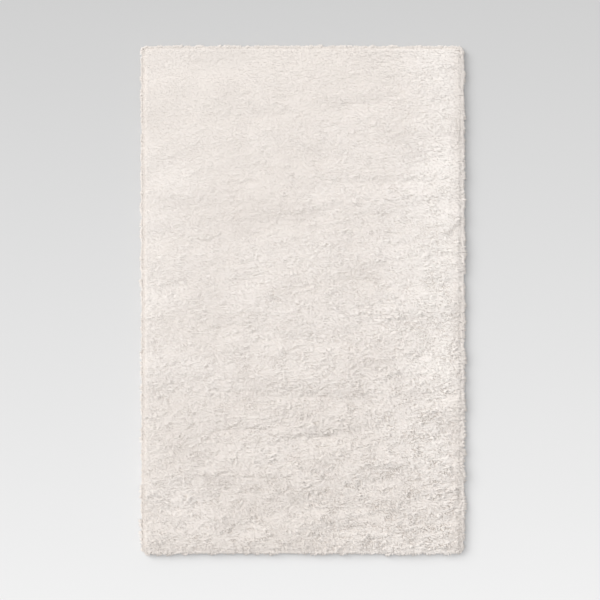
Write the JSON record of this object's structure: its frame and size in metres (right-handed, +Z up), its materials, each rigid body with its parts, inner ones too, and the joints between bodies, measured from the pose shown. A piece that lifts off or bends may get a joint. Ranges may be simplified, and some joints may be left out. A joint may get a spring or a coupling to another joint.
{
  "type": "shag rug",
  "caption": "Rectangular shag rug lying flat: a woven ground cloth under one deep, lumpy pile that leans out over the cloth's edges and ends in tufted locks at its rim.",
  "frame": {"origin": "on the floor, under the middle of the rug", "axes": "+X across the rug's width, +Y along its length, +Z up out of the pile"},
  "size_m": [1.593, 2.5074, 0.0537],
  "materials": {
    "ground_cloth": "woven jute and cotton, matt",
    "pile_yarn": "cream shag yarn, soft, with a slight sheen"
  },
  "bodies": {
    "root": {"backing": "ground_cloth", "pile": "pile_yarn"}
  },
  "joints": []
}
